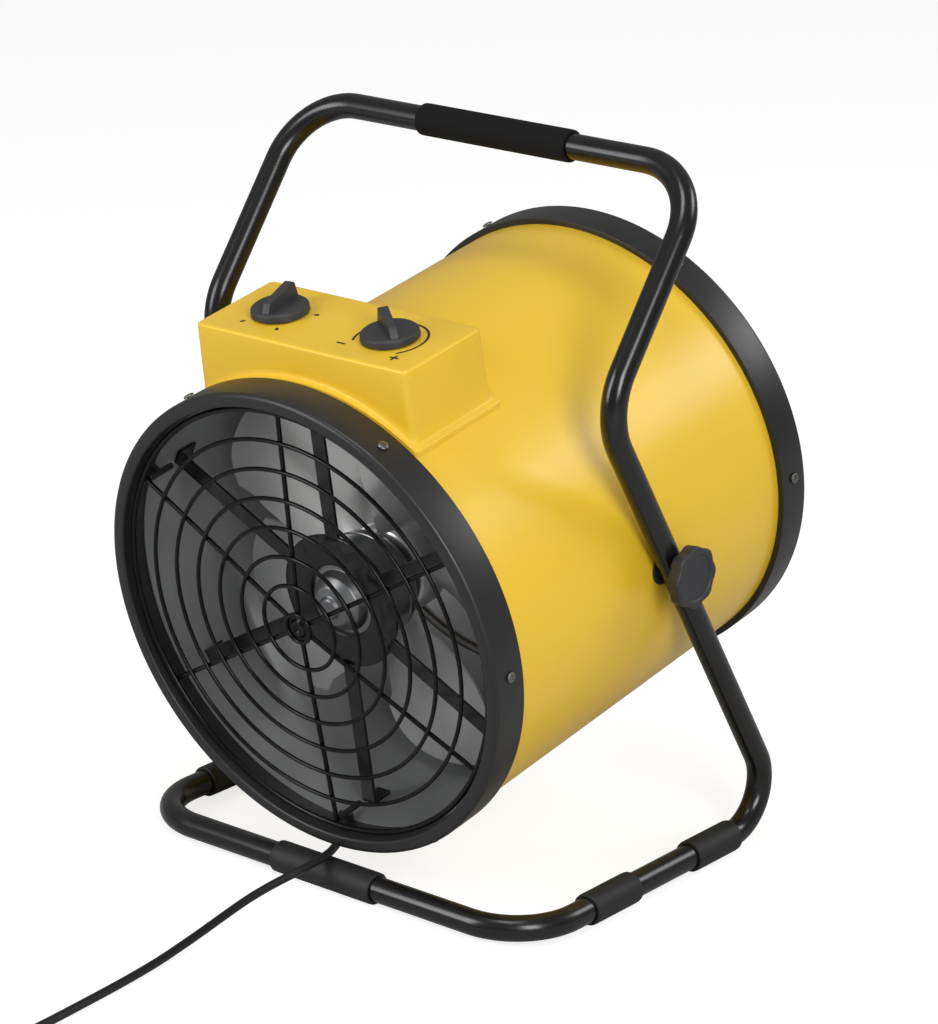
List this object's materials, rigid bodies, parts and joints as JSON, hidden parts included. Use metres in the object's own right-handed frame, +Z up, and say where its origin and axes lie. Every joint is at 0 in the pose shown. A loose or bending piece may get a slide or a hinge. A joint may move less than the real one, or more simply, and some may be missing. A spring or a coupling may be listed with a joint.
{
  "type": "forced air heater",
  "caption": "Drum fan heater tilting in a bent tube stand: fan and motor behind a wire guard, tubular elements, outlet guard, control box with knobs, clamp knobs and cord.",
  "frame": {"origin": "on the floor, under the middle of the heater without its cord", "axes": "+Z up; the intake end with the fan and the controls faces -Y and the outlet end +Y; +X is on the right seen from the intake end; the drum is shown tilted 10 degrees, outlet end up"},
  "size_m": [0.4138, 0.8032, 0.5402],
  "materials": {
    "yellow_paint": "satin",
    "black_paint": "satin",
    "black_rubber": "matte",
    "cord_rubber": "matte",
    "black_plastic": "matte",
    "cream_plastic": "matte",
    "grey_sheet": "galvanised",
    "bright_steel": "bright",
    "element_steel": "satin",
    "fan_aluminium": "satin"
  },
  "bodies": {
    "stand": {"frame_tube_left": "black_paint", "frame_tube_right": "black_paint", "handle_grip": "black_rubber", "front_sleeve": "black_rubber", "handle_joiner": "black_paint", "front_joiner": "black_paint", "foot_sleeve_left_front": "black_rubber", "foot_sleeve_left_rear": "black_rubber", "foot_sleeve_right_front": "black_rubber", "foot_sleeve_right_rear": "black_rubber", "pivot_washer_left": "black_plastic", "pivot_washer_right": "black_plastic", "power_cord": "cord_rubber", "cord_coil": "cord_rubber", "mains_plug": "black_plastic"},
    "drum": {"drum_shell": "yellow_paint", "inner_duct": "grey_sheet", "intake_ring": "black_paint", "outlet_ring": "black_paint", "intake_guard": "black_paint", "outlet_guard": "black_paint", "intake_ring_screw_1": "bright_steel", "intake_ring_screw_2": "bright_steel", "intake_ring_screw_3": "bright_steel", "intake_ring_screw_4": "bright_steel", "intake_ring_screw_5": "bright_steel", "intake_ring_screw_6": "bright_steel", "outlet_ring_screw_1": "bright_steel", "outlet_ring_screw_2": "bright_steel", "outlet_ring_screw_3": "bright_steel", "outlet_ring_screw_4": "bright_steel", "outlet_ring_screw_5": "bright_steel", "outlet_ring_screw_6": "bright_steel", "motor_bracket": "black_paint", "fan_motor": "bright_steel", "heating_element_1": "element_steel", "heating_element_2": "element_steel", "heating_element_3": "element_steel", "element_support_1": "grey_sheet", "element_support_2": "grey_sheet", "element_support_3": "grey_sheet", "thermal_cutout": "black_plastic", "cable_gland": "black_plastic", "control_box": "yellow_paint", "terminal_block": "cream_plastic", "selector_switch": "cream_plastic", "thermostat": "grey_sheet", "pivot_bolt_left": "bright_steel", "pivot_bolt_right": "bright_steel"},
    "fan": {"motor_shaft": "bright_steel", "fan_impeller": "fan_aluminium", "fan_nut": "bright_steel"},
    "selector": {"selector_knob": "black_plastic"},
    "thermostat_dial": {"thermostat_knob": "black_plastic"},
    "clamp_left": {"clamp_knob_left": "black_plastic"},
    "clamp_right": {"clamp_knob_right": "black_plastic"}
  },
  "joints": [
    {"name": "drum_tilt", "type": "hinge", "parent": "stand", "child": "drum", "pos_m": [0, 0.01135, 0.24075], "axis": [1, 0, 0], "range_deg": [-35, 10], "deforming": ["power_cord"]},
    {"name": "fan_spin", "type": "hinge", "parent": "drum", "child": "fan", "pos_m": [0, -0.0713, 0.22892], "axis": [0, 0.9848, 0.1736], "continuous": true},
    {"name": "selector_turn", "type": "hinge", "parent": "drum", "child": "selector", "pos_m": [-0.051, -0.13949, 0.42242], "axis": [0, -0.1736, 0.9848], "range_deg": [-216, 0]},
    {"name": "thermostat_turn", "type": "hinge", "parent": "drum", "child": "thermostat_dial", "pos_m": [0.051, -0.13949, 0.42242], "axis": [0, -0.1736, 0.9848], "range_deg": [-184, 69]},
    {"name": "clamp_right_turn", "type": "hinge", "parent": "drum", "child": "clamp_right", "pos_m": [0.205, 0.01135, 0.24075], "axis": [1, 0, 0], "range_deg": [0, 360]},
    {"name": "clamp_left_turn", "type": "hinge", "parent": "drum", "child": "clamp_left", "pos_m": [-0.205, 0.01135, 0.24075], "axis": [-1, 0, 0], "range_deg": [0, 360]}
  ]
}
